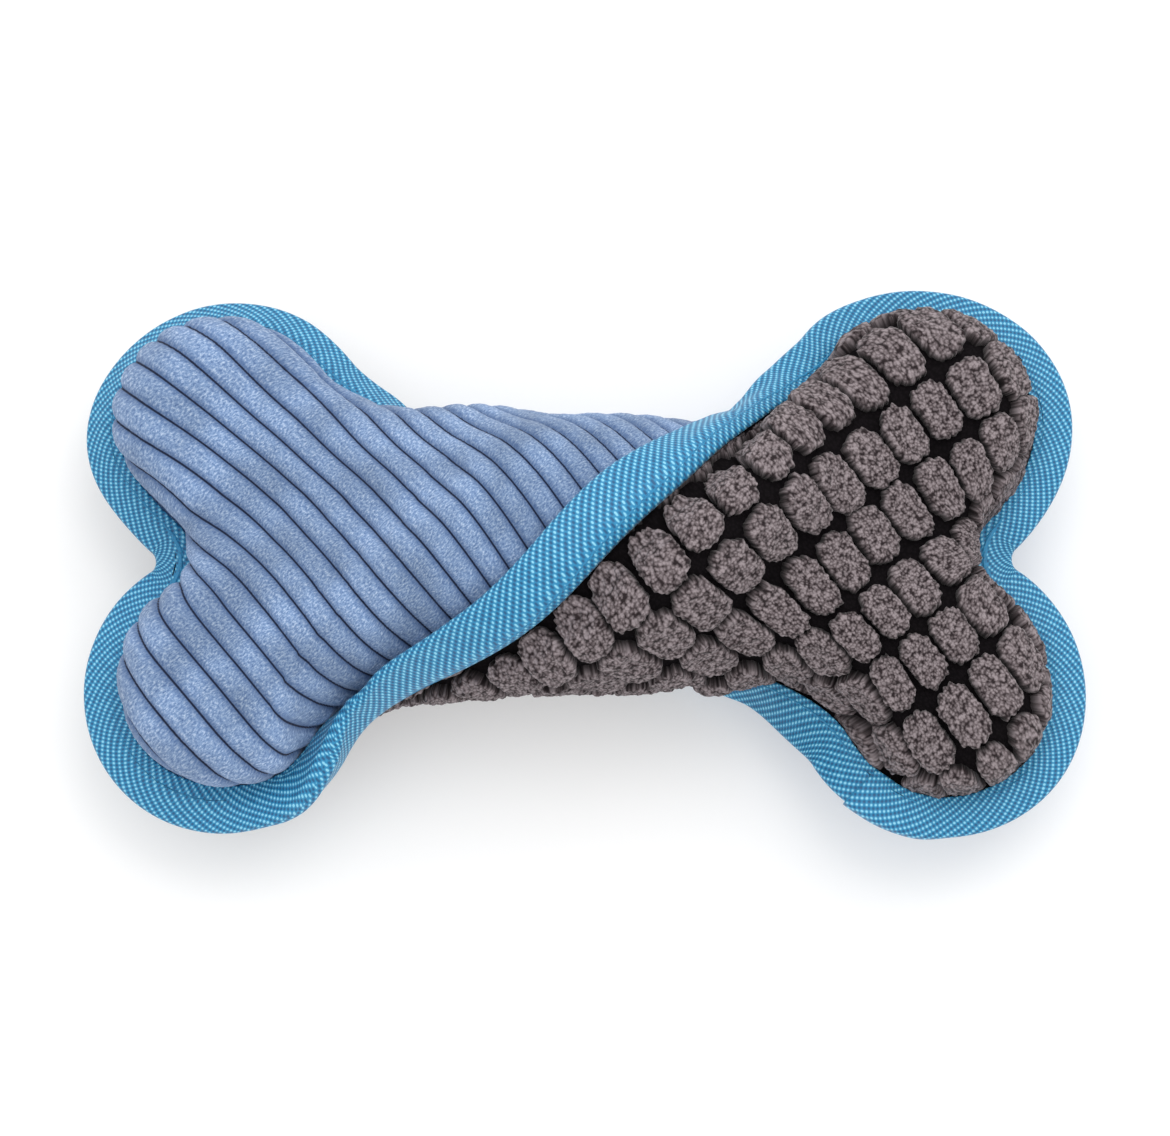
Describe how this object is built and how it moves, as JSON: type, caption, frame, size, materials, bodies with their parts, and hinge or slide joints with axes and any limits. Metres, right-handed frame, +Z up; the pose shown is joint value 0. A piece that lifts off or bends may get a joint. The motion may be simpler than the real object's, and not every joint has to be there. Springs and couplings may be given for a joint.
{
  "type": "squeaky dog toy",
  "caption": "Flat stuffed bone with a half-turn twist at the waist, corduroy on one side and tufted grid plush on the other, edged with folded tape, with a squeaker inside one end.",
  "frame": {"origin": "middle of the toy's footprint, on the floor that its lobes rest on", "axes": "+X along the bone towards the end whose plush side faces up, +Y across it, +Z up from the floor"},
  "size_m": [0.2314, 0.1288, 0.0698],
  "materials": {
    "corduroy": "wide-wale corduroy with a soft nap",
    "plush": "taupe boucle tufts on a black ground",
    "tape": "herringbone nylon webbing",
    "fill": "loose polyester fibre",
    "bulb": "blow-moulded soft polyethylene",
    "plug": "moulded",
    "reed": "thin cut film"
  },
  "bodies": {
    "toy": {"corduroy_panel": "corduroy", "grid_plush_panel": "plush", "binding_tape": "tape", "needle_thread": "tape", "bobbin_thread": "tape", "left_fill_corduroy_side": "fill", "left_fill_plush_side": "fill", "waist_fill_corduroy_side": "fill", "waist_fill_plush_side": "fill", "right_fill_corduroy_side": "fill", "right_fill_plush_side": "fill", "squeaker_base": "bulb", "squeaker_bellows": "bulb", "squeaker_plug": "plug"},
    "squeaker_top": {"squeaker_lid": "bulb"},
    "reed": {"squeaker_reed": "reed"}
  },
  "joints": [
    {"name": "squeaker_press", "type": "slide", "parent": "toy", "child": "squeaker_top", "axis": [0, 0, -1], "range_m": [0, 0.01], "stiffness_N_per_m": 400, "deforming": ["squeaker_bellows"]},
    {"name": "reed_flutter", "type": "hinge", "parent": "toy", "child": "reed", "pos_m": [-0.06296, -0.00059, 0.02416], "axis": [0, -1, 0], "range_deg": [0, 8], "stiffness_Nm_per_rad": 0.002}
  ]
}
